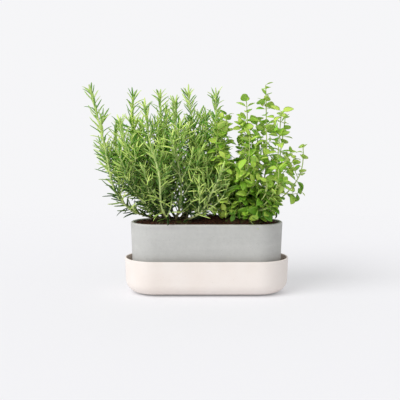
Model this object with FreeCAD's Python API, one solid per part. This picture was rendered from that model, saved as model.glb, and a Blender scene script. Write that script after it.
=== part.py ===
"""Indoor herb planter for a window sill, in millimetres, at its real size.

A stoneware pot with flat sides and half-round ends stands on four moulded feet in a deep glazed
drip tray, with an even water gap all round. Drain holes in the pot's base are covered by squares
of plastic mesh, and the pot is filled with potting soil. A rosemary and an oregano stand in it,
each with its own root ball and its own shoots.

The tray and the pot share one shape: a wall profile that runs along a straight spine and turns
half a circle round each end of it. The origin is the middle of the tray's base, on the sill.
+X runs along the planter to the oregano, +Y to the back, +Z up.

Herbs of this family have square stems, with leaves in opposite pairs, each pair turned a quarter
from the one below. A shoot is one closed skin made that way: rings of four corners climb the
stem's route, and a leaf grows out of the stem's own side where two rings lie close together.
"""
import FreeCAD, Part

import math
import os
from dataclasses import dataclass

from FreeCAD import Vector

UP = Vector(0, 0, 1)
ORIGIN = Vector(0, 0, 0)
QUARTER_TURN_DEG = 90
HALF_TURN_DEG = 180
FULL_TURN = 2 * math.pi

# Tray: the driving sizes of the whole planter are its length, width and height.
tray_length = 310.0
tray_width = 120.0
tray_height = 68.0
tray_wall = 3.2
tray_floor = 4.0
tray_draft_deg = 1.8
tray_bottom_round = 24.0
tray_lip_round = 1.2
base_height = 2.0
base_inset = 3.0

# Pot: it follows the tray's wall at the water gap, and stands on the tray's floor.
water_gap = 10.7
pot_height = 129.5
pot_wall = 6.4
pot_base = 7.0
pot_draft_deg = 2.0
pot_bottom_round = 11.0
pot_inside_round = 8.0
pot_lip_round = 2.2
pot_foot_height = 9.0
pot_foot_size = 20.0
pot_foot_corner_cut = 4.0
pot_foot_draft_deg = 8.0
drain_hole_diameter = 14.0
drain_hole_count = 3
drain_span_share = 0.6

# Screens: one square of plastic mesh over each drain hole.
screen_size = 27.0
screen_thickness = 0.8
screen_mesh_pitch = 7.0
screen_mesh_gap = 4.6
screen_mesh_count = 3
screen_clearance = 0.3

# Soil: it fills the pot round the root balls and rises a little to the middle.
soil_below_lip = 4.0
soil_crown_height = 7.0
soil_crown_share = 0.55
soil_wall_clearance = 0.3
soil_end_sides = 12

# Root balls: square and tapered as they leave their growing pots, a little proud of the soil.
ball_wall_margin = 3.5
ball_draft_deg = 5.0
ball_height = 84.0
ball_clearance = 0.3
ball_corner_cut = 14.0
ball_edge_cut = 4.0
rosemary_ball_above_lip = 6.0
oregano_ball_above_lip = 10.5
rosemary_place_share = -0.65
oregano_place_share = 0.72

# Rosemary: woody shoots with many narrow needle leaves.
rosemary_height = 250.0
rosemary_spread = 160.0
rosemary_stem_width = 3.0
rosemary_tip_width = 1.5
rosemary_bare_length = 20.0
rosemary_pair_spacing = 15.0
rosemary_crowding_share = 0.25
rosemary_leaf_length = 26.0
rosemary_leaf_width = 3.8
rosemary_leaf_thickness = 1.5
rosemary_leaf_base = 2.2

# Oregano: thinner shoots with fewer, broad leaves.
oregano_height = 245.0
oregano_spread = 130.0
oregano_stem_width = 2.4
oregano_tip_width = 1.3
oregano_bare_length = 16.0
oregano_pair_spacing = 21.0
oregano_crowding_share = 0.15
oregano_leaf_length = 26.0
oregano_leaf_width = 15.5
oregano_leaf_thickness = 1.5
oregano_leaf_base = 2.0

# Growth shared by both plants. A crowding share above 0 draws the pairs together towards the tip.
leaf_clearance = 0.8
leaf_above_ball = 1.0
shoot_point_length = 4.0
side_turn_deg = 37.0

# How each plant holds its leaves, from the lowest pair (first) to the topmost (second).
rosemary_tilt_deg = (60.0, 34.0)
rosemary_length_shares = (1.0, 0.78)
oregano_tilt_deg = (80.0, 48.0)
oregano_length_shares = (1.0, 0.6)
# Where a leaf's sections lie along it, and how wide each is, as shares of its length and width.
needle_section_shares = ((0.55, 1.0),)
oval_section_shares = ((0.42, 1.0), (0.78, 0.68))
# What is tried where a leaf would brush a neighbour: its full length, then shorter.
leaf_trial_shares = (1.0, 0.75, 0.55)

# Each shoot: where it leaves its root ball (shares of the ball's half width), the elbow it bends
# round and its tip (x and y in shares of the plant's spread, z in shares of its height), and how
# far it sways aside on the way (a share of the spread, + to the right in its lower half).
rosemary_shoot_shares = (
    ((-0.85, 0.00), (-0.90, 0.00, 0.10), (-0.98, 0.00, 1.00), -0.075),
    ((-0.62, 0.30), (-0.46, 0.14, 0.30), (-0.48, 0.16, 0.90), 0.03),
    ((-0.70, -0.40), (-0.56, -0.22, 0.25), (-0.60, -0.26, 0.72), -0.03),
    ((-0.45, 0.70), (-0.66, 0.24, 0.15), (-0.70, 0.30, 0.66), 0.03),
    ((-0.25, -0.05), (-0.20, 0.00, 0.40), (-0.16, 0.02, 0.90), -0.02),
    ((0.10, -0.55), (0.12, -0.24, 0.30), (0.02, -0.16, 0.86), 0.03),
    ((-0.25, -0.80), (-0.14, -0.42, 0.18), (-0.24, -0.40, 0.54), -0.03),
    ((0.35, 0.05), (0.42, 0.02, 0.30), (0.17, 0.03, 0.92), 0.02),
    ((0.75, -0.15), (0.44, -0.06, 0.42), (0.49, 0.00, 0.91), -0.03),
    ((0.60, 0.60), (0.30, 0.34, 0.30), (0.38, 0.36, 0.76), 0.03),
    ((0.05, 0.80), (-0.20, 0.36, 0.30), (-0.10, 0.36, 0.80), -0.03),
    ((0.65, -0.60), (0.42, -0.34, 0.08), (0.55, -0.36, 0.36), 0.02),
    ((-0.40, -0.50), (-0.30, -0.12, 0.30), (-0.32, -0.12, 0.82), -0.02),
    ((-0.20, 0.50), (-0.46, 0.38, 0.20), (-0.46, 0.42, 0.60), 0.03),
)
oregano_shoot_shares = (
    ((0.35, 0.10), (0.48, 0.06, 0.40), (0.32, 0.06, 1.00), 0.03),
    ((-0.15, 0.20), (0.02, 0.10, 0.40), (0.05, 0.12, 0.87), -0.03),
    ((0.75, -0.25), (0.60, -0.20, 0.42), (0.52, -0.22, 0.80), 0.03),
    ((0.85, 0.10), (0.76, 0.06, 0.10), (0.87, 0.05, 0.52), -0.05),
    ((-0.60, -0.30), (-0.42, -0.22, 0.32), (-0.33, -0.26, 0.74), 0.04),
    ((-0.10, -0.70), (-0.02, -0.42, 0.25), (0.06, -0.46, 0.62), -0.03),
    ((-0.80, 0.15), (-0.52, 0.05, 0.15), (-0.48, 0.00, 0.46), 0.03),
    ((0.10, 0.75), (0.20, 0.42, 0.30), (0.22, 0.46, 0.72), -0.03),
    ((0.65, 0.60), (0.66, 0.36, 0.30), (0.64, 0.40, 0.74), 0.03),
    ((0.45, -0.75), (0.40, -0.50, 0.12), (0.46, -0.52, 0.38), -0.03),
    ((-0.45, 0.65), (-0.28, 0.38, 0.25), (-0.22, 0.36, 0.76), 0.03),
    ((0.20, -0.90), (0.24, -0.42, 0.12), (0.30, -0.54, 0.28), -0.03),
)

# How many flats stand for a round in a wall's section.
tray_outer_flats = 4
tray_inner_flats = 2
small_round_flats = 1

# Heights and half sizes that several pieces share.
half_straight = (tray_length - tray_width) / 2
tray_lip_radius = tray_width / 2
tray_under_z = base_height
tray_floor_z = tray_under_z + tray_floor
pot_lip_z = tray_floor_z + pot_height
pot_under_z = tray_floor_z + pot_foot_height
pot_floor_z = pot_under_z + pot_base
soil_edge_z = pot_lip_z - soil_below_lip


def drawn_in(height, draft_deg):
    """How far a drafted wall moves in over a height."""
    return height * math.tan(math.radians(draft_deg))


def pot_outer_radius(z):
    """The pot's outside, from the spine, at a height: the water gap holds at the tray's lip."""
    at_tray_lip = tray_lip_radius - tray_wall - water_gap
    return at_tray_lip + drawn_in(z - tray_height, pot_draft_deg)


def pot_inner_radius(z):
    return pot_outer_radius(z) - pot_wall


def eased_outline(corners):
    """Points of a wall's section from (radius, z, round, flats) corners: flats stand for the round."""
    points = [Vector(half_straight + radius, 0, z) for radius, z, _, _ in corners]
    outline = []
    for i, (_, _, size, flats) in enumerate(corners):
        here = points[i]
        if not size:
            outline.append(here)
            continue
        back = (points[i - 1] - here).normalize()
        ahead = (points[(i + 1) % len(points)] - here).normalize()
        half_angle = back.getAngle(ahead) / 2
        trim = size / math.tan(half_angle)
        to_arc = size / math.sin(half_angle) - size
        middle = here + (back + ahead).normalize() * to_arc
        outline += Part.Arc(here + back * trim, middle, here + ahead * trim).discretize(flats + 1)
    return outline


def runway(corners):
    """The solid of a wall's section that runs along the spine and turns round both its ends."""
    outline = eased_outline(corners)
    front = Part.Face(Part.makePolygon(outline + outline[:1]))
    right_axis = Vector(half_straight, 0, 0)
    front.rotate(right_axis, UP, -QUARTER_TURN_DEG)
    right_end = front.revolve(right_axis, UP, HALF_TURN_DEG)
    front_run = front.extrude(Vector(-2 * half_straight, 0, 0))
    left_end = right_end.rotated(ORIGIN, UP, HALF_TURN_DEG)
    back_run = front_run.rotated(ORIGIN, UP, HALF_TURN_DEG)
    return right_end.fuse([left_end, front_run, back_run]).removeSplitter()


class Skin:
    """A closed skin of flat faces, gathered one at a time."""

    def __init__(self):
        self.faces = []

    def face(self, *points):
        self.faces.append(Part.Face(Part.makePolygon(points + points[:1])))

    def bent_quad(self, a, b, c, d):
        """Two triangles for four points that don't lie flat."""
        self.face(a, b, c)
        self.face(a, c, d)

    def solid(self):
        return Part.makeSolid(Part.makeShell(self.faces))


def block(outlines):
    """A solid with flat sides, through outlines of as many points at rising heights."""
    skin = Skin()
    skin.face(*reversed(outlines[0]))
    for lower, upper in zip(outlines, outlines[1:]):
        for i in range(len(lower)):
            skin.face(lower[i - 1], lower[i], upper[i], upper[i - 1])
    skin.face(*outlines[-1])
    return skin.solid()


def square_outline(half_width, corner_cut, z):
    """A square with its corners cut off, round the axis."""
    near = half_width - corner_cut
    points = []
    for turn in range(4):
        for y in (-near, near):
            corner = Vector(half_width, y, z)
            points.append(FreeCAD.Rotation(UP, turn * QUARTER_TURN_DEG).multVec(corner))
    return points


def tray():
    """A thin glazed dish with a big round between wall and floor, on a flat unglazed base."""
    bottom_radius = tray_lip_radius - drawn_in(tray_height - tray_under_z, tray_draft_deg)
    inside_radius = tray_lip_radius - tray_wall
    inside_bottom = inside_radius - drawn_in(tray_height - tray_floor_z, tray_draft_deg)
    base_radius = bottom_radius - tray_bottom_round - base_inset
    return runway((
        (0, 0, 0, 0),
        (base_radius, 0, 0, 0),
        (base_radius, tray_under_z, 0, 0),
        (bottom_radius, tray_under_z, tray_bottom_round, tray_outer_flats),
        (tray_lip_radius, tray_height, tray_lip_round, small_round_flats),
        (inside_radius, tray_height, tray_lip_round, small_round_flats),
        (inside_bottom, tray_floor_z, tray_bottom_round - tray_wall, tray_inner_flats),
        (0, tray_floor_z, 0, 0),
    ))


def drain_places():
    """The drain holes' centres, evenly spaced along the spine."""
    span = 2 * half_straight * drain_span_share
    step = span / (drain_hole_count - 1)
    return [Vector(-span / 2 + step * i, 0, 0) for i in range(drain_hole_count)]


def pot_foot():
    """One drafted foot with cut corners, standing on the tray's floor."""
    top_half = pot_foot_size / 2
    bottom_half = top_half - drawn_in(pot_foot_height, pot_foot_draft_deg)
    return block([
        square_outline(bottom_half, pot_foot_corner_cut, tray_floor_z),
        square_outline(top_half, pot_foot_corner_cut, pot_under_z),
    ])


def pot():
    """The drafted stoneware pot, with its drain holes and the four feet that lift them clear."""
    body = runway((
        (0, pot_under_z, 0, 0),
        (pot_outer_radius(pot_under_z), pot_under_z, pot_bottom_round, small_round_flats),
        (pot_outer_radius(pot_lip_z), pot_lip_z, pot_lip_round, small_round_flats),
        (pot_inner_radius(pot_lip_z), pot_lip_z, pot_lip_round, small_round_flats),
        (pot_inner_radius(pot_floor_z), pot_floor_z, pot_inside_round, small_round_flats),
        (0, pot_floor_z, 0, 0),
    ))
    hole = Part.makeCylinder(drain_hole_diameter / 2, pot_floor_z)
    for place in drain_places():
        body = body.cut(hole.translated(place))
    flat_half_width = pot_outer_radius(pot_under_z) - pot_bottom_round
    foot_y = flat_half_width - pot_foot_size / 2
    for end in (-1, 1):
        for side in (-1, 1):
            body = body.fuse(pot_foot().translated(Vector(end * half_straight, side * foot_y, 0)))
    return body.removeSplitter()


def screens():
    """A square of mesh over each drain hole: square gaps in a grid, inside a plain rim."""
    grid_size = screen_mesh_count * screen_mesh_pitch - (screen_mesh_pitch - screen_mesh_gap)
    corner = Vector(-screen_size / 2, -screen_size / 2, pot_floor_z)
    outlines = [Part.makePlane(screen_size, screen_size, corner).OuterWire]
    lows = [i * screen_mesh_pitch - grid_size / 2 for i in range(screen_mesh_count)]
    for x in lows:
        for y in lows:
            low = Vector(x, y, pot_floor_z)
            outlines.append(Part.makePlane(screen_mesh_gap, screen_mesh_gap, low).OuterWire)
    square = Part.makeFace(outlines, "Part::FaceMakerBullseye").extrude(UP * screen_thickness)
    return Part.Compound([square.translated(place) for place in drain_places()])


def ball_place(share):
    return Vector(share * half_straight, 0, 0)


def ball_top_z(above_lip):
    return pot_lip_z + above_lip


def ball_half_width(above_lip, z):
    """Half a root ball's width at a height: it clears the pot's wall by its margin at the lip."""
    at_lip = pot_inner_radius(pot_lip_z) - ball_wall_margin
    return at_lip - drawn_in(ball_top_z(above_lip) - z, ball_draft_deg)


def root_ball(share, above_lip):
    """A tapered block of roots and soil, square with cut corners, its top edge rubbed off."""
    top_z = ball_top_z(above_lip)
    bottom_z = top_z - ball_height
    edge_z = top_z - ball_edge_cut
    top_half = ball_half_width(above_lip, top_z)
    ball = block([
        square_outline(ball_half_width(above_lip, bottom_z), ball_corner_cut, bottom_z),
        square_outline(ball_half_width(above_lip, edge_z), ball_corner_cut, edge_z),
        square_outline(top_half - ball_edge_cut, ball_corner_cut, top_z),
    ])
    return ball.translated(ball_place(share))


def ball_socket(share, above_lip):
    """The space a root ball takes in the soil, with its clearance."""
    top_z = ball_top_z(above_lip)
    bottom_z = top_z - ball_height
    socket = block([
        square_outline(ball_half_width(above_lip, z) + ball_clearance, ball_corner_cut, z)
        for z in (bottom_z, top_z)
    ])
    return socket.translated(ball_place(share))


def soil_outline(radius, z):
    """The pot's plan shape with flats in place of its round ends, because soil needs no more."""
    points = []
    for end in (1, -1):
        for i in range(soil_end_sides + 1):
            angle = math.radians(HALF_TURN_DEG * i / soil_end_sides - QUARTER_TURN_DEG)
            reach = half_straight + radius * math.cos(angle)
            points.append(Vector(end * reach, end * radius * math.sin(angle), z))
    return points


def soil():
    """Potting soil that fills the pot, with a socket for each root ball and over each screen."""
    wall_foot_z = pot_floor_z + pot_inside_round
    crown_radius = pot_inner_radius(soil_edge_z) * soil_crown_share
    body = block([
        soil_outline(pot_inner_radius(pot_floor_z) - pot_inside_round - soil_wall_clearance, pot_floor_z),
        soil_outline(pot_inner_radius(wall_foot_z) - soil_wall_clearance, wall_foot_z),
        soil_outline(pot_inner_radius(soil_edge_z) - soil_wall_clearance, soil_edge_z),
        soil_outline(crown_radius, soil_edge_z + soil_crown_height),
    ])
    body = body.cut(ball_socket(rosemary_place_share, rosemary_ball_above_lip))
    body = body.cut(ball_socket(oregano_place_share, oregano_ball_above_lip))
    pocket_size = screen_size + 2 * screen_clearance
    pocket_corner = Vector(-pocket_size / 2, -pocket_size / 2, pot_floor_z)
    pocket = Part.makeBox(pocket_size, pocket_size, screen_thickness, pocket_corner)
    for place in drain_places():
        body = body.cut(pocket.translated(place))
    return body


@dataclass
class Herb:
    """One plant: its sizes, how it holds its leaves, and where its shoots go."""

    name: str
    place_share: float
    above_lip: float
    height: float
    spread: float
    stem_width: float
    tip_width: float
    bare_length: float
    pair_spacing: float
    crowding_share: float
    leaf_length: float
    leaf_width: float
    leaf_thickness: float
    leaf_base: float
    section_shares: tuple
    length_shares: tuple
    tilt_deg: tuple
    shoot_shares: tuple

    def routes(self):
        """Each shoot's name and centre line."""
        top_z = ball_top_z(self.above_lip)
        centre = ball_place(self.place_share) + UP * top_z
        base_reach = ball_half_width(self.above_lip, top_z) - ball_edge_cut - self.stem_width
        for i, (base, elbow, tip, sway) in enumerate(self.shoot_shares):
            yield f"{self.name}_shoot_{i + 1:02d}", Route(
                centre + Vector(base[0] * base_reach, base[1] * base_reach, 0),
                centre + Vector(elbow[0] * self.spread, elbow[1] * self.spread, elbow[2] * self.height),
                centre + Vector(tip[0] * self.spread, tip[1] * self.spread, tip[2] * self.height),
                Vector(sway * self.spread, 0, 0),
            )


class Route:
    """A shoot's centre line: from its base round its elbow to its tip, swaying once on the way."""

    STEPS = 40

    def __init__(self, base, elbow, tip, sway):
        self.base = base
        self.elbow = elbow
        self.tip = tip
        self.sway = sway
        points = [self.point(i / self.STEPS) for i in range(self.STEPS + 1)]
        self.lengths = [0.0]
        for start, end in zip(points, points[1:]):
            self.lengths.append(self.lengths[-1] + start.distanceToPoint(end))
        self.length = self.lengths[-1]

    def point(self, t):
        bow = self.base * (1 - t) ** 2 + self.elbow * (2 * t * (1 - t)) + self.tip * t ** 2
        return bow + self.sway * math.sin(FULL_TURN * t)

    def heading(self, t):
        along_bow = ((self.elbow - self.base) * (1 - t) + (self.tip - self.elbow) * t) * 2
        return (along_bow + self.sway * (FULL_TURN * math.cos(FULL_TURN * t))).normalize()

    def part_way(self, distance):
        """How far round the curve (0 to 1) a distance along it lies."""
        for i in range(self.STEPS):
            if distance <= self.lengths[i + 1]:
                into_step = (distance - self.lengths[i]) / (self.lengths[i + 1] - self.lengths[i])
                return (i + into_step) / self.STEPS
        return 1.0


def nearest_gap(a0, a1, b0, b1):
    """The least distance between two straight pieces, each given by its two ends."""
    u = a1 - a0
    v = b1 - b0
    w = a0 - b0
    uv = u.dot(v)
    uu = u.dot(u)
    vv = v.dot(v)
    spread = uu * vv - uv * uv
    s = (uv * v.dot(w) - vv * u.dot(w)) / spread if spread else 0
    s = min(1, max(0, s))
    t = min(1, max(0, (uv * s + v.dot(w)) / vv))
    s = min(1, max(0, (uv * t - u.dot(w)) / uu))
    return (w + u * s - v * t).Length


class Thicket:
    """Where stems and leaves already are, so that a new leaf keeps clear of the other shoots."""

    STEM_PIECES = 14

    def __init__(self):
        self.pieces = []

    def add(self, owner, start, end, half_width):
        reach = start.distanceToPoint(end) / 2
        self.pieces.append((owner, start, end, half_width, (start + end) / 2, reach))

    def add_stem(self, owner, route, half_width):
        points = [route.point(i / self.STEM_PIECES) for i in range(self.STEM_PIECES + 1)]
        for start, end in zip(points, points[1:]):
            self.add(owner, start, end, half_width)

    def has_room(self, owner, start, end, half_width):
        middle = (start + end) / 2
        reach = start.distanceToPoint(end) / 2
        for other, other_start, other_end, other_half, other_middle, other_reach in self.pieces:
            if other == owner:
                continue
            room = half_width + other_half + leaf_clearance
            if middle.distanceToPoint(other_middle) > room + reach + other_reach:
                continue
            if nearest_gap(start, end, other_start, other_end) < room:
                return False
        return True


def between(ends, share):
    """A value part of the way from the first of two to the second."""
    return ends[0] + (ends[1] - ends[0]) * share


def stem_ring(herb, route, distance, side):
    """The square stem's corners at a distance up its route, its heading, and its sides' directions."""
    half = between((herb.stem_width, herb.tip_width), distance / route.length) / 2
    t = route.part_way(distance)
    heading = route.heading(t) if distance else UP
    u = (side - heading * side.dot(heading)).normalize()
    v = heading.cross(u)
    centre = route.point(t)
    corners = [centre + (u * a + v * b) * half for a, b in ((1, 1), (-1, 1), (-1, -1), (1, -1))]
    return corners, heading, (u, v, -u, -v)


class Leaf:
    """A leaf that starts low on one side of the stem: its root, its sections and its tip.

    The root and each section are three points: left, right and the ridge above them.
    """

    def __init__(self, herb, left, right, heading, outward, share, trial):
        tilt = math.radians(between(herb.tilt_deg, share))
        size = between(herb.length_shares, share) * trial
        ahead = heading * math.cos(tilt) + outward * math.sin(tilt)
        across = (right - left).normalize()
        upper_side = ahead.cross(across)
        root_ridge = (left + right) / 2 + heading * herb.leaf_base
        self.root = (left, right, root_ridge)
        self.start = (left + right + root_ridge) / len(self.root)
        self.tip = self.start + ahead * (herb.leaf_length * size)
        self.half_width = herb.leaf_width * size / 2
        self.sections = []
        for along, wide in herb.section_shares:
            middle = self.start + (self.tip - self.start) * along
            half = across * (self.half_width * wide)
            ridge = middle + upper_side * (herb.leaf_thickness * wide)
            self.sections.append((middle - half, middle + half, ridge))

    def lowest(self):
        return min([self.tip.z] + [point.z for section in self.sections for point in section])

    def grow(self, skin, upper_right, upper_left):
        """Adds the leaf to the skin, with what is left of the stem's side round its root."""
        left, right, ridge = self.root
        skin.face(right, upper_right, ridge)
        skin.face(upper_right, upper_left, ridge)
        skin.face(upper_left, left, ridge)
        rings = [self.root] + self.sections
        for near, far in zip(rings, rings[1:]):
            for i in range(len(near)):
                skin.bent_quad(near[i - 1], near[i], far[i], far[i - 1])
        last = rings[-1]
        for i in range(len(last)):
            skin.face(last[i - 1], last[i], self.tip)


def leaf_that_fits(herb, name, thicket, left, right, heading, outward, share):
    """The longest leaf that clears its neighbours and stays over its root ball, or none."""
    lowest_allowed = ball_top_z(herb.above_lip) + leaf_above_ball
    for trial in leaf_trial_shares:
        leaf = Leaf(herb, left, right, heading, outward, share, trial)
        if leaf.lowest() < lowest_allowed:
            continue
        if thicket.has_room(name, leaf.start, leaf.tip, leaf.half_width):
            thicket.add(name, leaf.start, leaf.tip, leaf.half_width)
            return leaf
    return None


def shoot(herb, name, route, first_side, thicket):
    """One shoot as a solid: its square stem, its leaves in opposite pairs and its point."""
    leafy_length = route.length - herb.bare_length - shoot_point_length
    pair_count = max(1, int(leafy_length / herb.pair_spacing))
    distances = [0.0]
    for i in range(pair_count + 1):
        still_to_climb = (1 - i / pair_count) ** (1 + herb.crowding_share)
        distances.append(herb.bare_length + leafy_length * (1 - still_to_climb))
    rings = [stem_ring(herb, route, distance, first_side) for distance in distances]
    skin = Skin()
    skin.face(*reversed(rings[0][0]))
    for i, ((low, heading, outwards), (high, _, _)) in enumerate(zip(rings, rings[1:])):
        for j in range(len(low)):
            left, right, upper_right, upper_left = low[j - 1], low[j], high[j], high[j - 1]
            leaf = None
            if i and (i + j) % 2:
                share = i / pair_count
                leaf = leaf_that_fits(herb, name, thicket, left, right, heading, outwards[j], share)
            if leaf:
                leaf.grow(skin, upper_right, upper_left)
            else:
                skin.bent_quad(left, right, upper_right, upper_left)
    neck = rings[-1][0]
    for j in range(len(neck)):
        skin.face(neck[j - 1], neck[j], route.tip)
    return skin.solid()


def grow(herbs):
    """Every shoot of every plant. The stems claim their room before any leaf grows."""
    thicket = Thicket()
    for herb in herbs:
        for name, route in herb.routes():
            thicket.add_stem(name, route, herb.stem_width / 2)
    shoots = {}
    for herb in herbs:
        for i, (name, route) in enumerate(herb.routes()):
            turn = math.radians(side_turn_deg * i)
            first_side = Vector(math.cos(turn), math.sin(turn), 0)
            shoots[name] = shoot(herb, name, route, first_side, thicket)
    return shoots


rosemary = Herb(
    name="rosemary",
    place_share=rosemary_place_share,
    above_lip=rosemary_ball_above_lip,
    height=rosemary_height,
    spread=rosemary_spread,
    stem_width=rosemary_stem_width,
    tip_width=rosemary_tip_width,
    bare_length=rosemary_bare_length,
    pair_spacing=rosemary_pair_spacing,
    crowding_share=rosemary_crowding_share,
    leaf_length=rosemary_leaf_length,
    leaf_width=rosemary_leaf_width,
    leaf_thickness=rosemary_leaf_thickness,
    leaf_base=rosemary_leaf_base,
    section_shares=needle_section_shares,
    length_shares=rosemary_length_shares,
    tilt_deg=rosemary_tilt_deg,
    shoot_shares=rosemary_shoot_shares,
)
oregano = Herb(
    name="oregano",
    place_share=oregano_place_share,
    above_lip=oregano_ball_above_lip,
    height=oregano_height,
    spread=oregano_spread,
    stem_width=oregano_stem_width,
    tip_width=oregano_tip_width,
    bare_length=oregano_bare_length,
    pair_spacing=oregano_pair_spacing,
    crowding_share=oregano_crowding_share,
    leaf_length=oregano_leaf_length,
    leaf_width=oregano_leaf_width,
    leaf_thickness=oregano_leaf_thickness,
    leaf_base=oregano_leaf_base,
    section_shares=oval_section_shares,
    length_shares=oregano_length_shares,
    tilt_deg=oregano_tilt_deg,
    shoot_shares=oregano_shoot_shares,
)

nodes = {
    "drip_tray": tray(),
    "pot": pot(),
    "drain_screens": screens(),
    "potting_soil": soil(),
    "rosemary_root_ball": root_ball(rosemary_place_share, rosemary_ball_above_lip),
    "oregano_root_ball": root_ball(oregano_place_share, oregano_ball_above_lip),
}
nodes.update(grow([rosemary, oregano]))

os.makedirs("parts", exist_ok=True)
for node, shape in nodes.items():
    shape.exportStep(f"parts/{node}.step")
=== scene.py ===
"""Indoor herb planter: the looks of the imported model, in metres, in the model's own frame.

The sections follow the planter as it is put together: tray, pot, screens, soil, root balls and the
two herbs. The floor, the light and the camera come last.
"""
import math
import random

import bmesh
import bpy
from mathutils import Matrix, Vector


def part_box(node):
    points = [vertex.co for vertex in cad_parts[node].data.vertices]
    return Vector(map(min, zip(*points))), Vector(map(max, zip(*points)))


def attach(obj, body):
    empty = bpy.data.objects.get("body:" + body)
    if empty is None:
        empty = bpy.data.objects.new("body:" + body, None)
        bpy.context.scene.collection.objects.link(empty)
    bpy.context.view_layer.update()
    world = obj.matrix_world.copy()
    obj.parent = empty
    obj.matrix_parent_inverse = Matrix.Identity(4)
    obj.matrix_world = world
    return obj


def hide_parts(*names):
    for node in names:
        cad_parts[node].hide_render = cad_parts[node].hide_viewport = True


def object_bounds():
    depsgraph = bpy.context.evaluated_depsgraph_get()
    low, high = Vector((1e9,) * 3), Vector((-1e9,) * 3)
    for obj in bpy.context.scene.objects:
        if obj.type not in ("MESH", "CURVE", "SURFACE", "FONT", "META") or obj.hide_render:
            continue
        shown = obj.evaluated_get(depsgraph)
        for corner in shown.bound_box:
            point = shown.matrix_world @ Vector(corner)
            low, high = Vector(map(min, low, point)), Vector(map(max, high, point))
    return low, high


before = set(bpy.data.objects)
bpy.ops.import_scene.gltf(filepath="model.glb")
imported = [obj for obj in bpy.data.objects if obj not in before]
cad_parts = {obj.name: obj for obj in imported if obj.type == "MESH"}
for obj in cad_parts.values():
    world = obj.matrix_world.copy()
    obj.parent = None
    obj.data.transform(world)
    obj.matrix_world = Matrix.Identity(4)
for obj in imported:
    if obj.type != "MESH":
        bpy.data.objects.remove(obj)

cad_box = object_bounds()


# Drip tray.
# A slip-cast dish with a satin cream glaze all over, but for the flat base that it stands on, which
# is wiped clean and stays bare and rough. The pot stands in it, with an even gap for water.
tray_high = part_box("drip_tray")[1]
tray_radius = tray_high.y
half_spine = tray_high.x - tray_radius
tray_height = tray_high.z
tray_wall = 0.0032
tray_under = 0.002
tray_floor = 0.006
tray_draft = math.tan(math.radians(1.8))
tray_round = 0.024
tray_lip_round = 0.0013
base_inset = 0.003
tray_bottom_radius = tray_radius - (tray_height - tray_under) * tray_draft
glaze_cream = (0.83, 0.755, 0.70, 1)
glaze_thick = (0.86, 0.80, 0.755, 1)
# The colour of the painted shade on the tray's inner wall.
glaze_inside_shade = (0.60, 0.49, 0.41, 1)
pinhole_brown = (0.55, 0.45, 0.36, 1)
bare_clay = (0.42, 0.33, 0.25, 1)
round_steps = 9
arc_steps = 64
wall_crease_deg = 35


class Flow:
    """What comes out of a socket. Python's arithmetic works on it, and each sum adds a Math node."""

    def __init__(self, nodes, socket):
        self.nodes = nodes
        self.socket = socket

    def maths(self, operation, *values):
        return self.nodes.add("ShaderNodeMath", {"operation": operation}, dict(enumerate(values)))[0]

    def __add__(self, other):
        return self.maths("ADD", self, other)

    def __radd__(self, other):
        return self.maths("ADD", other, self)

    def __sub__(self, other):
        return self.maths("SUBTRACT", self, other)

    def __rsub__(self, other):
        return self.maths("SUBTRACT", other, self)

    def __mul__(self, other):
        return self.maths("MULTIPLY", self, other)

    def __rmul__(self, other):
        return self.maths("MULTIPLY", other, self)

    def __truediv__(self, other):
        return self.maths("DIVIDE", self, other)

    def __mod__(self, other):
        return self.maths("FLOORED_MODULO", self, other)

    def __pow__(self, other):
        return self.maths("POWER", self, other)

    def __gt__(self, other):
        return self.maths("GREATER_THAN", self, other)

    def __abs__(self):
        return self.maths("ABSOLUTE", self)

    def whole(self):
        return self.maths("FLOOR", self)

    def least(self, other):
        return self.maths("MINIMUM", self, other)

    def most(self, other):
        return self.maths("MAXIMUM", self, other)

    def sine(self):
        return self.maths("SINE", self)

    def cosine(self):
        return self.maths("COSINE", self)

    def ramp(self, low, high, to_low=0.0, to_high=1.0):
        """Runs smoothly from one value to another while this goes from low to high."""
        settings = {"interpolation_type": "SMOOTHSTEP"}
        sockets = {"Value": self, "From Min": low, "From Max": high, "To Min": to_low, "To Max": to_high}
        return self.nodes.add("ShaderNodeMapRange", settings, sockets)["Result"]


class Made:
    """A node that is in place. Its outputs are read by name or number."""

    def __init__(self, nodes, node):
        self.nodes = nodes
        self.node = node

    def __getitem__(self, key):
        return Flow(self.nodes, self.node.outputs[key])


class Nodes:
    """A node tree, for a material or for geometry, that nodes are added to."""

    def __init__(self, tree):
        self.tree = tree

    def add(self, kind, settings=None, sockets=None):
        """Any node: its settings come first, then its sockets' values or links, by name or number."""
        node = self.tree.nodes.new(kind)
        for name, value in (settings or {}).items():
            setattr(node, name, value)
        for key, value in (sockets or {}).items():
            self.feed(node.inputs[key], value)
        return Made(self, node)

    def feed(self, socket, value):
        if isinstance(value, Flow):
            self.tree.links.new(value.socket, socket)
        elif isinstance(value, list):
            for flow in value:
                self.tree.links.new(flow.socket, socket)
        else:
            socket.default_value = value

    def vector(self, x, y, z):
        return self.add("ShaderNodeCombineXYZ", {}, {0: x, 1: y, 2: z})[0]

    def axes(self, vector):
        return self.add("ShaderNodeSeparateXYZ", {}, {0: vector})

    def mix(self, share, first, second):
        """A colour between two, by a share that may vary over the surface."""
        node = self.add("ShaderNodeMix", {"data_type": "RGBA"}, {0: share, 6: first, 7: second})
        return node[2]

    def noise(self, place, scale, detail=4.0, roughness=0.55):
        sockets = {"Vector": place, "Scale": scale, "Detail": detail, "Roughness": roughness}
        return self.add("ShaderNodeTexNoise", {}, sockets)["Fac"]

    def bumped(self, height, distance, strength=1.0):
        sockets = {"Height": height, "Distance": distance, "Strength": strength}
        return self.add("ShaderNodeBump", {}, sockets)["Normal"]


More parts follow.
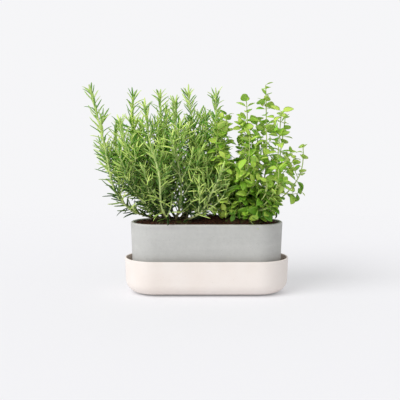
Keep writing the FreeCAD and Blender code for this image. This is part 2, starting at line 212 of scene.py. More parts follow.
class Finish(Nodes):
    """A material being made: a Principled shader and the sockets that vary over the surface."""

    def __init__(self, name):
        self.material = bpy.data.materials.new(name)
        self.material.use_nodes = True
        super().__init__(self.material.node_tree)
        self.tree.nodes.clear()
        self.place = self.add("ShaderNodeTexCoord")["Object"]
        axes = self.axes(self.place)
        self.x, self.y, self.z = axes["X"], axes["Y"], axes["Z"]

    def mottle(self, scale, detail=4.0, roughness=0.55):
        """Noise over the surface, with about this many lumps to a metre."""
        return self.noise(self.place, scale, detail, roughness)

    def shade(self, sockets):
        """Ends the material in one Principled shader with these sockets, and gives the material."""
        shader = self.add("ShaderNodeBsdfPrincipled", {}, sockets)
        self.add("ShaderNodeOutputMaterial", {}, {"Surface": shader["BSDF"]})
        return self.material


def geometry_tree(name, inputs):
    """An empty Geometry Nodes tree with named inputs, and its input node."""
    tree = bpy.data.node_groups.new(name, "GeometryNodeTree")
    tree.interface.new_socket("Geometry", in_out="INPUT", socket_type="NodeSocketGeometry")
    tree.interface.new_socket("Geometry", in_out="OUTPUT", socket_type="NodeSocketGeometry")
    for label, kind in inputs.items():
        tree.interface.new_socket(label, in_out="INPUT", socket_type="NodeSocket" + kind)
    nodes = Nodes(tree)
    return nodes, nodes.add("NodeGroupInput")


def coated(nodes, geometry, material):
    """Realize Instances, then Set Material."""
    real = nodes.add("GeometryNodeRealizeInstances", {}, {"Geometry": geometry})["Geometry"]
    return nodes.add("GeometryNodeSetMaterial", {}, {"Geometry": real, "Material": material})["Geometry"]


def end_tree(nodes, geometry):
    """The tree's output, and the tree."""
    nodes.add("NodeGroupOutput", {}, {"Geometry": geometry})
    return nodes.tree


def placed(name, data):
    """A new object in the scene: a mesh, a lamp or a camera."""
    thing = bpy.data.objects.new(name, data)
    bpy.context.scene.collection.objects.link(thing)
    return thing


def loose_mesh(name, points, edges=(), faces=()):
    """An object in the scene from bare points, edges and faces."""
    mesh = bpy.data.meshes.new(name)
    mesh.from_pydata([tuple(point) for point in points], edges, faces)
    return placed(name, mesh)


def run_tree(piece, tree, values):
    """Puts the piece's mesh through a Geometry Nodes tree and keeps the result as a plain mesh."""
    modifier = piece.modifiers.new(tree.name, "NODES")
    modifier.node_group = tree
    for item in tree.interface.items_tree:
        if item.in_out == "INPUT" and item.name in values:
            modifier[item.identifier] = values[item.name]
    keep_result(piece)


def keep_result(piece):
    """Turns what the piece's modifiers make into its own plain mesh."""
    evaluated = piece.evaluated_get(bpy.context.evaluated_depsgraph_get())
    mesh = bpy.data.meshes.new_from_object(evaluated)
    piece.modifiers.clear()
    old = piece.data
    piece.data = mesh
    bpy.data.meshes.remove(old)
    mesh.name = piece.name


def face_outwards(mesh):
    """Turns a closed mesh's faces outwards and shades it smooth."""
    net = bmesh.new()
    net.from_mesh(mesh)
    bmesh.ops.recalc_face_normals(net, faces=net.faces)
    net.to_mesh(mesh)
    net.free()
    mesh.shade_smooth()


def finish_wall(piece):
    """Turns a pottery wall's faces outwards and shades it smooth, but for its sharp edges."""
    face_outwards(piece.data)
    piece.data.set_sharp_from_angle(angle=math.radians(wall_crease_deg))


def eased(corners):
    """Points of a wall's section from (radius, height, round) corners, with the rounds as arcs."""
    points = [Vector(corner[:2]) for corner in corners]
    outline = []
    for i, here in enumerate(points):
        size = corners[i][2]
        if not size:
            outline.append(here)
            continue
        back = (points[i - 1] - here).normalized()
        ahead = (points[(i + 1) % len(points)] - here).normalized()
        half_angle = back.angle(ahead) / 2
        middle = here + (back + ahead).normalized() * (size / math.sin(half_angle))
        first = (here + back * (size / math.tan(half_angle)) - middle).normalized()
        last = (here + ahead * (size / math.tan(half_angle)) - middle).normalized()
        outline += [middle + first.slerp(last, k / round_steps) * size for k in range(round_steps + 1)]
    return outline


def spine_run_tree():
    """A wall's section run along the straight spine and half round each of its ends.

    The section is a row of points with x as the distance from the spine and z as the height. A
    grid takes them: its rows are the section's points, and its columns go once round the spine.
    """
    inputs = {"Half Spine": "Float", "Arc Steps": "Float", "Run Steps": "Float", "Material": "Material"}
    nodes, given = geometry_tree("Run round the spine", inputs)
    half, arc, run = given["Half Spine"], given["Arc Steps"], given["Run Steps"]
    row_count = nodes.add("GeometryNodeAttributeDomainSize", {}, {"Geometry": given["Geometry"]})
    column_count = (arc + run) * 2 + 1
    counts = {"Vertices X": row_count["Point Count"], "Vertices Y": column_count}
    grid = nodes.add("GeometryNodeMeshGrid", {}, counts)["Mesh"]
    index = nodes.add("GeometryNodeInputIndex")["Index"]
    nudge = 1e-5
    row = (index / column_count + nudge).whole()
    column = index - row * column_count
    end = (column / (arc + run) + nudge).whole()
    step = column - end * (arc + run)
    angle = (end - 0.5 + step.least(arc) / arc) * math.pi
    shift = half * (1 - (step - arc).most(0) / run * 2) * (1 - (end % 2) * 2)
    section = nodes.axes(nodes.add("GeometryNodeSampleIndex", {"data_type": "FLOAT_VECTOR"}, {
        "Geometry": given["Geometry"],
        "Value": nodes.add("GeometryNodeInputPosition")[0],
        "Index": row,
    })["Value"])
    place = nodes.vector(shift + section["X"] * angle.cosine(), section["X"] * angle.sine(), section["Z"])
    moved = nodes.add("GeometryNodeSetPosition", {}, {"Geometry": grid, "Position": place})["Geometry"]
    meeting = 2e-6
    merged = nodes.add("GeometryNodeMergeByDistance", {}, {"Geometry": moved, "Distance": meeting})
    return end_tree(nodes, coated(nodes, merged["Geometry"], given["Material"]))


spine_run = spine_run_tree()


def run_round_spine(name, corners, material, run_steps=1):
    """A piece whose wall has this section, closed from the spine round and back to the spine."""
    outline = [(point.x, 0, point.y) for point in eased(corners)]
    outline.append(outline[0])
    piece = loose_mesh(name, outline)
    run_tree(piece, spine_run, {
        "Half Spine": half_spine,
        "Arc Steps": float(arc_steps),
        "Run Steps": float(run_steps),
        "Material": material,
    })
    finish_wall(piece)
    return piece


def from_spine(finish):
    """How far a place lies from the straight line that the tray and the pot are both run round."""
    beyond = (abs(finish.x) - half_spine).most(0.0)
    return (beyond * beyond + finish.y * finish.y) ** 0.5


def tray_glaze():
    finish = Finish("Cream tray glaze")
    lowered = (1 - (finish.z - tray_under) / tray_round).most(0.0).least(1.0)
    outside = tray_bottom_radius + finish.z * tray_draft - tray_round * (1 - (1 - lowered * lowered) ** 0.5)
    inside = (outside - from_spine(finish)).ramp(tray_wall * 0.3, tray_wall * 0.8)
    clouds = finish.mottle(14.0, 3.0)
    grain = finish.mottle(900.0, 2.0)
    pinholes = finish.mottle(420.0, 1.0).ramp(0.70, 0.78)
    bare = finish.z.ramp(tray_under - 0.0003, tray_under + 0.0003, 1.0, 0.0)
    glazed = finish.mix(clouds.ramp(0.3, 0.7), glaze_cream, glaze_thick)
    specked = finish.mix(pinholes * 0.25, glazed, pinhole_brown)
    rippled = finish.mottle(60.0, 2.0) * 0.6 + grain * 0.25 - pinholes * 0.3
    above_base = finish.z.ramp(tray_under + 0.001, tray_floor - 0.001)
    # Painted shade: up from the floor, the inside of the wall is mixed towards a darker, warmer brown,
    # standing in for the shade and warm bounce light in the gap round the pot.
    inside_shaded = finish.mix(inside * above_base * 0.75, specked, glaze_inside_shade)
    return finish.shade({
        "Base Color": finish.mix(bare, inside_shaded, bare_clay),
        "Roughness": 0.38 + clouds * 0.12 + bare * 0.4,
        "Normal": finish.bumped(rippled, 0.0004, 0.35),
        "Specular IOR Level": 0.45,
    })


tray_inside_radius = tray_radius - tray_wall
base_radius = tray_bottom_radius - tray_round - base_inset
tray = run_round_spine("tray", [
    (0, 0, 0),
    (base_radius, 0, 0),
    (base_radius, tray_under, 0),
    (tray_bottom_radius, tray_under, tray_round),
    (tray_radius, tray_height, tray_lip_round),
    (tray_inside_radius, tray_height, tray_lip_round),
    (tray_inside_radius - (tray_height - tray_floor) * tray_draft, tray_floor, tray_round - tray_wall),
    (0, tray_floor, 0),
], tray_glaze())
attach(tray, "tray")
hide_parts("drip_tray")


# Pot.
# Thick unglazed grey stoneware with a little draft and a rounded lip. It was cast in one piece with
# the four feet that keep its three drain holes clear of the tray's floor.
pot_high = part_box("pot")[1]
pot_lip = pot_high.z
pot_lip_radius = pot_high.y
pot_wall = 0.0064
pot_draft = math.tan(math.radians(2))
pot_under = 0.015
pot_floor = 0.022
pot_bottom_round = 0.011
pot_inside_round = 0.008
pot_lip_round = 0.0026
foot_size = 0.020
foot_cut = 0.004
foot_draft = math.tan(math.radians(8))
foot_edge = 0.0012
foot_sunk = 0.0005
drain_radius = 0.007
drain_places = [half_spine * share for share in (-0.6, 0, 0.6)]
drain_steps = 40
drill_beyond = 0.005
stoneware_light = (0.580, 0.580, 0.560, 1)
stoneware_dark = (0.480, 0.482, 0.465, 1)
# A paler grey for the top of the lip.
stoneware_lip_pale = (0.65, 0.64, 0.61, 1)
fleck_dark = (0.26, 0.25, 0.23, 1)
streak_scales = (6.0, 6.0, 130.0)


def pot_radius(z):
    """The pot's outside, from the spine, at a height."""
    return pot_lip_radius - (pot_lip - z) * pot_draft


def pot_stoneware():
    finish = Finish("Grey pot stoneware")
    clouds = finish.mottle(11.0, 5.0, 0.6)
    mottling = finish.mottle(120.0, 5.0, 0.7)
    grit = finish.mottle(1100.0, 2.0)
    flecks = finish.mottle(520.0, 1.0).ramp(0.66, 0.74)
    # The top of the lip is mixed towards a paler grey, in a band that follows the mottling.
    paler_lip = (finish.z + mottling * 0.004).ramp(pot_lip - 0.0025, pot_lip + 0.001)
    stretch = {0: finish.place, 1: streak_scales}
    stretched = finish.add("ShaderNodeVectorMath", {"operation": "MULTIPLY"}, stretch)["Vector"]
    streaks = finish.noise(stretched, 1.0, 3.0)
    tone = clouds * 0.45 + mottling * 0.4 + streaks * 0.25
    body = finish.mix(tone.ramp(0.3, 0.8), stoneware_dark, stoneware_light)
    flecked = finish.mix(flecks * 0.3, body, fleck_dark)
    return finish.shade({
        "Base Color": finish.mix(paler_lip * 0.6, flecked, stoneware_lip_pale),
        "Roughness": 0.74 + mottling * 0.18,
        "Normal": finish.bumped(mottling * 0.5 + grit * 0.5, 0.0004, 0.6),
        "Specular IOR Level": 0.35,
    })


def ring_faces(first, count):
    """The faces between a ring of points and the ring that follows it in the list."""
    corners = [(first + k, first + (k + 1) % count) for k in range(count)]
    return [(here, there, there + count, here + count) for here, there in corners]


def cut_square(middle, half, cut, z):
    """The eight corners of a square with cut corners, in order."""
    near = half - cut
    corners = [(half, -near), (half, near), (near, half), (-near, half)]
    corners += [(-x, -y) for x, y in corners]
    return [(middle[0] + x, middle[1] + y, z) for x, y in corners]


def pot_feet(material):
    """Four square feet with cut corners that taper down to the tray's floor."""
    points = []
    faces = []
    foot_y = pot_radius(pot_under) - pot_bottom_round - foot_size / 2
    low_half = foot_size / 2 - (pot_under - tray_floor) * foot_draft
    for x in (-half_spine, half_spine):
        for y in (-foot_y, foot_y):
            first = len(points)
            points += cut_square((x, y), low_half - foot_edge, foot_cut, tray_floor)
            points += cut_square((x, y), low_half, foot_cut, tray_floor + foot_edge)
            points += cut_square((x, y), foot_size / 2, foot_cut, pot_under + foot_sunk)
            faces += ring_faces(first, 8) + ring_faces(first + 8, 8)
            faces.append(tuple(range(first, first + 8)))
            faces.append(tuple(range(first + 16, first + 24)))
    feet = loose_mesh("pot_feet", points, (), faces)
    feet.data.materials.append(material)
    finish_wall(feet)
    return feet


def mesh_of(net, name):
    """A plain mesh from a bmesh, which it frees."""
    mesh = bpy.data.meshes.new(name)
    net.to_mesh(mesh)
    net.free()
    return mesh


def drill(piece, places, radius, low, high):
    """Cuts round holes straight down through a piece."""
    net = bmesh.new()
    for x in places:
        drilled = bmesh.ops.create_cone(
            net, cap_ends=True, segments=drain_steps, radius1=radius, radius2=radius, depth=high - low)
        bmesh.ops.translate(net, verts=drilled["verts"], vec=(x, 0, (low + high) / 2))
    mesh = mesh_of(net, "drill")
    cutter = placed("drill", mesh)
    modifier = piece.modifiers.new("Drain holes", "BOOLEAN")
    modifier.operation = "DIFFERENCE"
    modifier.object = cutter
    keep_result(piece)
    bpy.data.objects.remove(cutter)
    bpy.data.meshes.remove(mesh)
    finish_wall(piece)


stoneware = pot_stoneware()
pot = run_round_spine("pot_body", [
    (0, pot_under, 0),
    (pot_radius(pot_under), pot_under, pot_bottom_round),
    (pot_lip_radius, pot_lip, pot_lip_round),
    (pot_lip_radius - pot_wall, pot_lip, pot_lip_round),
    (pot_radius(pot_floor) - pot_wall, pot_floor, pot_inside_round),
    (0, pot_floor, 0),
], stoneware)
drill(pot, drain_places, drain_radius, pot_under - drill_beyond, pot_floor + drill_beyond)
feet = pot_feet(stoneware)
for piece in (pot, feet):
    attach(piece, "pot")
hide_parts("pot")


# Drain screens.
# Squares of black plastic mesh, cut with scissors and laid over the drain holes before the soil
# goes in. They keep the soil in the pot and let the water out.
screen_black = (0.012, 0.012, 0.013, 1)
dust_brown = (0.06, 0.045, 0.035, 1)


def screen_plastic():
    finish = Finish("Black screen plastic")
    strands = finish.mottle(700.0, 2.0)
    dust = finish.mottle(90.0, 4.0).ramp(0.5, 0.75)
    return finish.shade({
        "Base Color": finish.mix(dust * 0.5, screen_black, dust_brown),
        "Roughness": 0.42 + dust * 0.35,
        "Normal": finish.bumped(strands, 0.0002, 0.4),
    })


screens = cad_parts["drain_screens"]
screens.data.materials.clear()
screens.data.materials.append(screen_plastic())


# Potting soil.
# Dark peat and bark crumbs, filled in round the root balls and pressed by hand, a little higher
# in the middle than at the pot's wall. Loose crumbs of it lie all over the top.
soil_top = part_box("potting_soil")[1].z
soil_foot = pot_floor + 0.001
soil_edge = pot_lip - 0.004
soil_gap = 0.0004
soil_steps = 22
soil_crown = 2.5
crumb_room = 0.001
crumb_seed = 7
crumb_flatness = (0.9, 0.6, 0.35)
full_turn = 6.28
lump_scale = 110.0
soil_dark = (0.016, 0.008, 0.005, 1)
soil_brown = (0.115, 0.042, 0.022, 1)
soil_fibre = (0.30, 0.125, 0.058, 1)
soil_heaps = ((0.010, 0.0, 0.020, 0.024, 0.0095), (0.068, 0.0, 0.050, 0.036, 0.0045))


def soil_crumbs():
    finish = Finish("Potting soil")
    lumps = finish.mottle(260.0, 6.0, 0.7)
    bark = finish.mottle(800.0, 3.0, 0.6)
    chips = finish.mottle(340.0, 1.0).ramp(0.62, 0.70)
    earth = finish.mix(lumps.ramp(0.35, 0.7), soil_dark, soil_brown)
    return finish.shade({
        "Base Color": finish.mix(chips * bark, earth, soil_fibre),
        "Roughness": 0.88 + bark * 0.1,
        "Normal": finish.bumped(lumps * 0.7 + bark * 0.3, 0.0012, 0.8),
        "Specular IOR Level": 0.2,
    })


def crumb_mesh(name, seed, flatness):
    """One rough lump of soil or bark, about a unit across."""
    rng = random.Random(seed)
    net = bmesh.new()
    bmesh.ops.create_icosphere(net, subdivisions=1, radius=0.5)
    for corner in net.verts:
        corner.co *= rng.uniform(0.65, 1.15)
        corner.co.z *= flatness
        corner.co.x *= 1.2
    return bpy.data.objects.new(name, mesh_of(net, name))


crumb_kinds = bpy.data.collections.new("crumb kinds")
for number, flatness in enumerate(crumb_flatness):
    crumb_kinds.objects.link(crumb_mesh(f"crumb_{number}", crumb_seed + number, flatness))


def random_value(nodes, low, high, seed):
    return nodes.add("FunctionNodeRandomValue", {"data_type": "FLOAT"}, {2: low, 3: high, "Seed": seed})[1]


def kinds_in(nodes, collection):
    """The collection's objects as instances, one kind each."""
    sockets = {"Collection": collection, "Separate Children": True, "Reset Children": True}
    return nodes.add("GeometryNodeCollectionInfo", {}, sockets)["Instances"]


def crumbled_tree():
    """Roughens a closed lump of soil all over, and strews crumbs on every face that looks up."""
    inputs = {
        "Roughening": "Float",
        "Lump Scale": "Float",
        "Crumb Size": "Float",
        "Crumbs per Area": "Float",
        "Lowest Crumb": "Float",
        "Seed": "Int",
        "Crumbs": "Collection",
        "Material": "Material",
    }
    nodes, given = geometry_tree("Crumbled soil", inputs)
    place = nodes.add("GeometryNodeInputPosition")[0]
    normal = nodes.add("GeometryNodeInputNormal")[0]
    height = nodes.noise(place, given["Lump Scale"], 4.0, 0.65) - 0.55
    push = nodes.add("ShaderNodeVectorMath", {"operation": "SCALE"}, {
        0: normal,
        "Scale": height * given["Roughening"],
    })[0]
    rough = nodes.add("GeometryNodeSetPosition", {}, {"Geometry": given["Geometry"], "Offset": push})[0]
    up = nodes.axes(normal)["Z"]
    level = nodes.axes(place)["Z"]
    spread = nodes.add("GeometryNodeDistributePointsOnFaces", {"distribute_method": "RANDOM"}, {
        "Mesh": rough,
        "Selection": (up > 0.5) * (level > given["Lowest Crumb"]),
        "Density": given["Crumbs per Area"],
        "Seed": given["Seed"],
    })
    turn = nodes.vector(*[random_value(nodes, 0.0, full_turn, salt) for salt in (1, 2, 3)])
    size = given["Crumb Size"] * random_value(nodes, 0.35, 1.0, 4) ** 1.6
    strewn = nodes.add("GeometryNodeInstanceOnPoints", {}, {
        "Points": spread["Points"],
        "Instance": kinds_in(nodes, given["Crumbs"]),
        "Pick Instance": True,
        "Rotation": nodes.add("FunctionNodeEulerToRotation", {}, {0: turn})[0],
        "Scale": nodes.vector(size, size, size),
    })["Instances"]
    both = nodes.add("GeometryNodeJoinGeometry", {}, {0: [strewn, rough]})[0]
    return end_tree(nodes, coated(nodes, both, given["Material"]))


crumbled = crumbled_tree()


def crumble(piece, material, roughening, crumb_size, crumbs_per_area, lowest, seed):
    run_tree(piece, crumbled, {
        "Roughening": roughening,
        "Lump Scale": lump_scale,
        "Crumb Size": crumb_size,
        "Crumbs per Area": crumbs_per_area,
        "Lowest Crumb": lowest,
        "Seed": seed,
        "Crumbs": crumb_kinds,
        "Material": material,
    })
    piece.data.shade_smooth()


def soil_section():
    """From just over the pot's floor up its wall, then in over the heaped top in short steps."""
    wall_in = pot_wall + soil_gap
    edge_radius = pot_radius(soil_edge) - wall_in
    round_top = pot_floor + pot_inside_round
    section = [
        (0, soil_foot, 0),
        (pot_radius(pot_floor) - wall_in - pot_inside_round, soil_foot, 0),
        (pot_radius(round_top) - wall_in, round_top, 0),
        (edge_radius, soil_edge, 0),
    ]
    for i in range(1, soil_steps + 1):
        share = 1 - i / soil_steps
        rise = (soil_top - soil_edge - crumb_room) * (1 - share ** soil_crown)
        section.append((edge_radius * share, soil_edge + rise, 0))
    return section


def heap_up(piece):
    """Raises the soil's top in soft heaps.

    Each heap is given by its middle in x and y, its reach in x and y, and its height.
    """
    just_below_edge = soil_edge - 0.0001
    for corner in piece.data.vertices:
        if corner.co.z < just_below_edge:
            continue
        for x, y, reach_x, reach_y, height in soil_heaps:
            off = ((corner.co.x - x) / reach_x) ** 2 + ((corner.co.y - y) / reach_y) ** 2
            corner.co.z += height * math.exp(-off)


soil_finish = soil_crumbs()
soil = run_round_spine("soil_fill", soil_section(), soil_finish, run_steps=90)
heap_up(soil)
crumble(
    soil, soil_finish, roughening=0.004, crumb_size=0.0042, crumbs_per_area=95000.0,
    lowest=soil_edge - 0.003, seed=crumb_seed)
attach(soil, "pot")
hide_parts("potting_soil")


# Root balls.
# Each herb came in a square tapered growing pot, and its roots hold that shape: dark compost bound
# by a net of fine pale roots. They stand in the soil with their rubbed top edges a little proud.
ball_taper = math.tan(math.radians(5))
ball_edge = 0.009
ball_edge_depth = 0.8
ball_inset = 0.001
ball_dome = 0.0015
ball_dome_room = 0.0005
ball_squareness = 6
ball_rows, ball_sides, ball_rings = 24, 64, 10
root_pale = (0.42, 0.33, 0.21, 1)
moss_green = (0.09, 0.13, 0.025, 1)


def root_ball_finish():
    finish = Finish("Root ball")
    lumps = finish.mottle(240.0, 6.0, 0.7)
    paths = {"Vector": finish.place, "Scale": 150.0, "Randomness": 1.0}
    cracks = finish.add("ShaderNodeTexVoronoi", {"feature": "DISTANCE_TO_EDGE"}, paths)["Distance"]
    roots = cracks.ramp(0.0, 0.06, 1.0, 0.0) * finish.mottle(45.0).ramp(0.35, 0.6)
    earth = finish.mix(lumps.ramp(0.35, 0.7), soil_dark, soil_brown)
    top = finish.z.ramp(soil_top - 0.004, soil_top + 0.001)
    moss = finish.mottle(70.0, 5.0).ramp(0.42, 0.62) * top
    netted = finish.mix(roots * (1 - top) * 0.8, earth, root_pale)
    return finish.shade({
        "Base Color": finish.mix(moss * 0.8, netted, moss_green),
        "Roughness": 0.9,
        "Normal": finish.bumped(lumps + roots * 0.5, 0.0012, 0.8),
        "Specular IOR Level": 0.2,
    })


def root_ball(name, node, material, seed):
    """A closed block with rounded corners, tapered to its foot, then roughened."""
    low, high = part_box(node)
    middle = (low + high) / 2
    half_top = (high.x - low.x) / 2 - ball_inset
    rim_height = high.z - ball_dome_room - ball_dome
    points = []
    faces = []
    for row in range(ball_rows + 1):
        z = low.z + (rim_height - low.z) * (row / ball_rows)
        over = max(0.0, 1 - (rim_height - z) / ball_edge)
        rubbed = ball_edge * (1 - math.sqrt(1 - over ** 2)) * ball_edge_depth
        half = half_top - (high.z - z) * ball_taper - rubbed
        for k in range(ball_sides):
            angle = 2 * math.pi * k / ball_sides
            c, s = math.cos(angle), math.sin(angle)
            squared = (abs(c) ** ball_squareness + abs(s) ** ball_squareness) ** (1 / ball_squareness)
            points.append((middle.x + c * half / squared, middle.y + s * half / squared, z))
    rim = points[-ball_sides:]
    for ring in range(1, ball_rings):
        share = 1 - ring / ball_rings
        for x, y, z in rim:
            domed = z + ball_dome * (1 - share ** 2)
            points.append((middle.x + (x - middle.x) * share, middle.y + (y - middle.y) * share, domed))
    last = len(points) - ball_sides
    for first in range(0, last, ball_sides):
        faces += ring_faces(first, ball_sides)
    points.append((middle.x, middle.y, rim_height + ball_dome))
    faces += [(last + k, last + (k + 1) % ball_sides, len(points) - 1) for k in range(ball_sides)]
    faces.append(tuple(reversed(range(ball_sides))))
    ball = loose_mesh(name, points, (), faces)
    crumble(
        ball, material, roughening=0.003, crumb_size=0.0038, crumbs_per_area=90000.0,
        lowest=high.z - 0.006, seed=seed)
    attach(ball, "pot")
    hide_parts(node)


ball_finish = root_ball_finish()
root_ball("rosemary_roots", "rosemary_root_ball", ball_finish, seed=21)
root_ball("oregano_roots", "oregano_root_ball", ball_finish, seed=22)


# Rosemary.
# Woody shoots with needle leaves in close opposite pairs, each pair turned a quarter from the one
# below, and shorter side shoots all the way up. Needles are leathery, domed above and nearly flat
# and grey-green below. The young wood and the tips are yellow-green.
def leaf_mesh(name, length_rows, ring, bend, fold=0.0):
    """A closed leaf a unit long, growing up +Z with its upper side to -X, as rings round its length.

    A row is (place along, half width, half thickness), a ring point (across, up) in those shares.
    The bend is how far the tip has swung towards the upper side, a little more at each row.
    """
    points = []
    faces = []
    marks = {"below": [], "along_leaf": [], "across_leaf": []}
    corners = len(ring)
    for along, half_width, half_thickness in length_rows:
        swing = bend * along ** 2
        for across, up in ring:
            lift = up * half_thickness + fold * abs(across) * half_width
            points.append((-(swing + lift), across * half_width, along - 0.3 * abs(bend) * along ** 3))
            marks["below"].append(1.0 if up < -0.2 else 0.0)
            marks["along_leaf"].append(along)
            marks["across_leaf"].append(across)
    last = len(points) - corners
    for first in range(0, last, corners):
        faces += ring_faces(first, corners)
    faces.append(tuple(reversed(range(corners))))
    faces.append(tuple(range(last, last + corners)))
    mesh = bpy.data.meshes.new(name)
    mesh.from_pydata(points, [], faces)
    mark_points(mesh, marks)
    face_outwards(mesh)
    return bpy.data.objects.new(name, mesh)


def mark_points(mesh, marks):
    """Stores named values on a mesh's points, one list for each name."""
    for name, values in marks.items():
        mesh.attributes.new(name, "FLOAT", "POINT").data.foreach_set("value", values)


def leafy_tree():
    """Leaves in opposite pairs at every joint of each stem, and the stems as thin rods.

    The stems come in as chains of edges: a corner of a chain is a joint, "girth" is the stem's
    radius there, and "vigour" is how large its leaves are.
    """
    floats = ("Leaf Length", "Tilt at Foot", "Tilt at Tip", "Tilt Spread", "Turn Spread", "Roll Spread")
    inputs = dict.fromkeys(floats + ("Size Spread",), "Float")
    inputs |= {"Leaves": "Collection", "Leaf Material": "Material", "Stem Material": "Material"}
    inputs |= {"Lowest Place": "Vector", "Highest Place": "Vector", "Seed": "Int"}
    nodes, given = geometry_tree("Leafy shoots", inputs)

    def store(geometry, name, value, domain="POINT", kind="FLOAT"):
        sockets = {"Geometry": geometry, "Name": name, "Value": value}
        settings = {"data_type": kind, "domain": domain}
        return nodes.add("GeometryNodeStoreNamedAttribute", settings, sockets)[0]

    def stored(name, kind="FLOAT"):
        return nodes.add("GeometryNodeInputNamedAttribute", {"data_type": kind}, {"Name": name})[0]

    def scatter(low, high, salt):
        return random_value(nodes, low, high, given["Seed"] + salt)

    def stray(spread, salt):
        return given[spread] * scatter(-1.0, 1.0, salt)

    def turn_by(rotation, axis, angle):
        about = nodes.add("FunctionNodeAxisAngleToRotation", {}, {"Axis": axis, "Angle": angle})[0]
        sockets = {"Rotation": rotation, "Rotate By": about}
        return nodes.add("FunctionNodeRotateRotation", {"rotation_space": "LOCAL"}, sockets)[0]

    curves = nodes.add("GeometryNodeMeshToCurve", {}, {"Mesh": given["Geometry"]})[0]
    spline = nodes.add("GeometryNodeSplineParameter")
    jointed = store(store(curves, "along", spline["Factor"]), "joint", spline["Index"])
    points = nodes.add("GeometryNodeCurveToPoints", {"mode": "EVALUATED"}, {"Curve": jointed})
    headed = store(points["Points"], "heading", points["Tangent"], kind="FLOAT_VECTOR")
    pairs = nodes.add("GeometryNodeDuplicateElements", {"domain": "POINT"}, {
        "Geometry": headed,
        "Selection": stored("vigour") > 0.01,
        "Amount": 2,
    })
    sided = store(pairs["Geometry"], "side", pairs["Duplicate Index"])
    heading = {"Vector": stored("heading", "FLOAT_VECTOR")}
    upright = nodes.add("FunctionNodeAlignRotationToVector", {"axis": "Z"}, heading)[0]
    turn = stored("joint") * (math.pi / 2) + stored("side") * math.pi + stored("twist")
    turned = turn_by(upright, (0, 0, 1), turn + stray("Turn Spread", 1.0))
    foot, tip = given["Tilt at Foot"], given["Tilt at Tip"]
    tilt = foot + (tip - foot) * stored("along") ** 3.0 + stray("Tilt Spread", 2.0)
    tilted = turn_by(turned, (0, 1, 0), tilt)
    rolled = turn_by(tilted, (0, 0, 1), stray("Roll Spread", 6.0))
    size = given["Leaf Length"] * stored("vigour") * (stray("Size Spread", 3.0) + 1.0)

    leaf_line = {"Vector": nodes.vector(0.0, 0.0, size), "Rotation": tilted}
    leaf_reach = nodes.add("FunctionNodeRotateVector", {}, leaf_line)[0]
    foot_place = nodes.add("GeometryNodeInputPosition")[0]
    leaf_tip = nodes.add("ShaderNodeVectorMath", {"operation": "ADD"}, {0: foot_place, 1: leaf_reach})[0]
    tip_axes = nodes.axes(leaf_tip)
    inside = 1.0
    for bound, sign in (("Lowest Place", 1), ("Highest Place", -1)):
        bound_axes = nodes.axes(given[bound])
        for axis in range(3):
            inside = inside * ((tip_axes[axis] - bound_axes[axis]) * sign > 0.0)

    grown = nodes.add("GeometryNodeInstanceOnPoints", {}, {
        "Points": sided,
        "Selection": inside,
        "Instance": kinds_in(nodes, given["Leaves"]),
        "Pick Instance": True,
        "Instance Index": scatter(0.0, 2.99, 4.0).whole(),
        "Rotation": rolled,
        "Scale": nodes.vector(size, size, size),
    })["Instances"]
    leaves = store(grown, "tone", scatter(0.0, 1.0, 5.0), "INSTANCE")
    smooth = nodes.add("GeometryNodeCurveSplineType", {"spline_type": "CATMULL_ROM"}, {"Curve": jointed})
    profile = nodes.add("GeometryNodeCurvePrimitiveCircle", {}, {"Resolution": 6, "Radius": 1.0})
    stems = nodes.add("GeometryNodeCurveToMesh", {}, {
        "Curve": smooth[0],
        "Profile Curve": profile[0],
        "Scale": stored("girth"),
        "Fill Caps": True,
    })["Mesh"]
    stem_coat = coated(nodes, stems, given["Stem Material"])
    leaf_coat = coated(nodes, leaves, given["Leaf Material"])
    return end_tree(nodes, nodes.add("GeometryNodeJoinGeometry", {}, {0: [stem_coat, leaf_coat]})[0])


leafy = leafy_tree()
leaf_clearance = 0.009
leaf_lowest = Vector((cad_box[0].x, cad_box[0].y, soil_edge + leaf_clearance))
leaf_highest = cad_box[1]
ball_rim = 0.004
root_depth = 0.002
lowest_side = 0.04


class Stem:
    """A shoot's centre line, curved from its foot round its elbow to its tip, swaying once on the way."""

    FINE = 60

    def __init__(self, foot, elbow, tip, sway=Vector()):
        self.foot, self.elbow, self.tip, self.sway = foot, elbow, tip, sway
        self.fine = [self.at(i / self.FINE) for i in range(self.FINE + 1)]
        self.reached = [0.0]
        for start, end in zip(self.fine, self.fine[1:]):
            self.reached.append(self.reached[-1] + (end - start).length)
        self.length = self.reached[-1]

    def at(self, t):
        bow = self.foot * (1 - t) ** 2 + self.elbow * (2 * t * (1 - t)) + self.tip * t ** 2
        return bow + self.sway * math.sin(2 * math.pi * t)

    def part_way(self, share):
        """The point a share of the way along, and the direction there."""
        goal = share * self.length
        i = next((k for k in range(self.FINE) if self.reached[k + 1] >= goal), self.FINE - 1)
        start, end = self.fine[i], self.fine[i + 1]
        into = (goal - self.reached[i]) / (self.reached[i + 1] - self.reached[i])
        return start.lerp(end, min(1.0, into)), (end - start).normalized()

    def joints(self, spacing, crowding):
        """Where the leaf pairs sit, as shares of the length, closer together towards the tip."""
        count = max(2, round(self.length / spacing))
        return [1 - (1 - i / count) ** crowding for i in range(count + 1)]


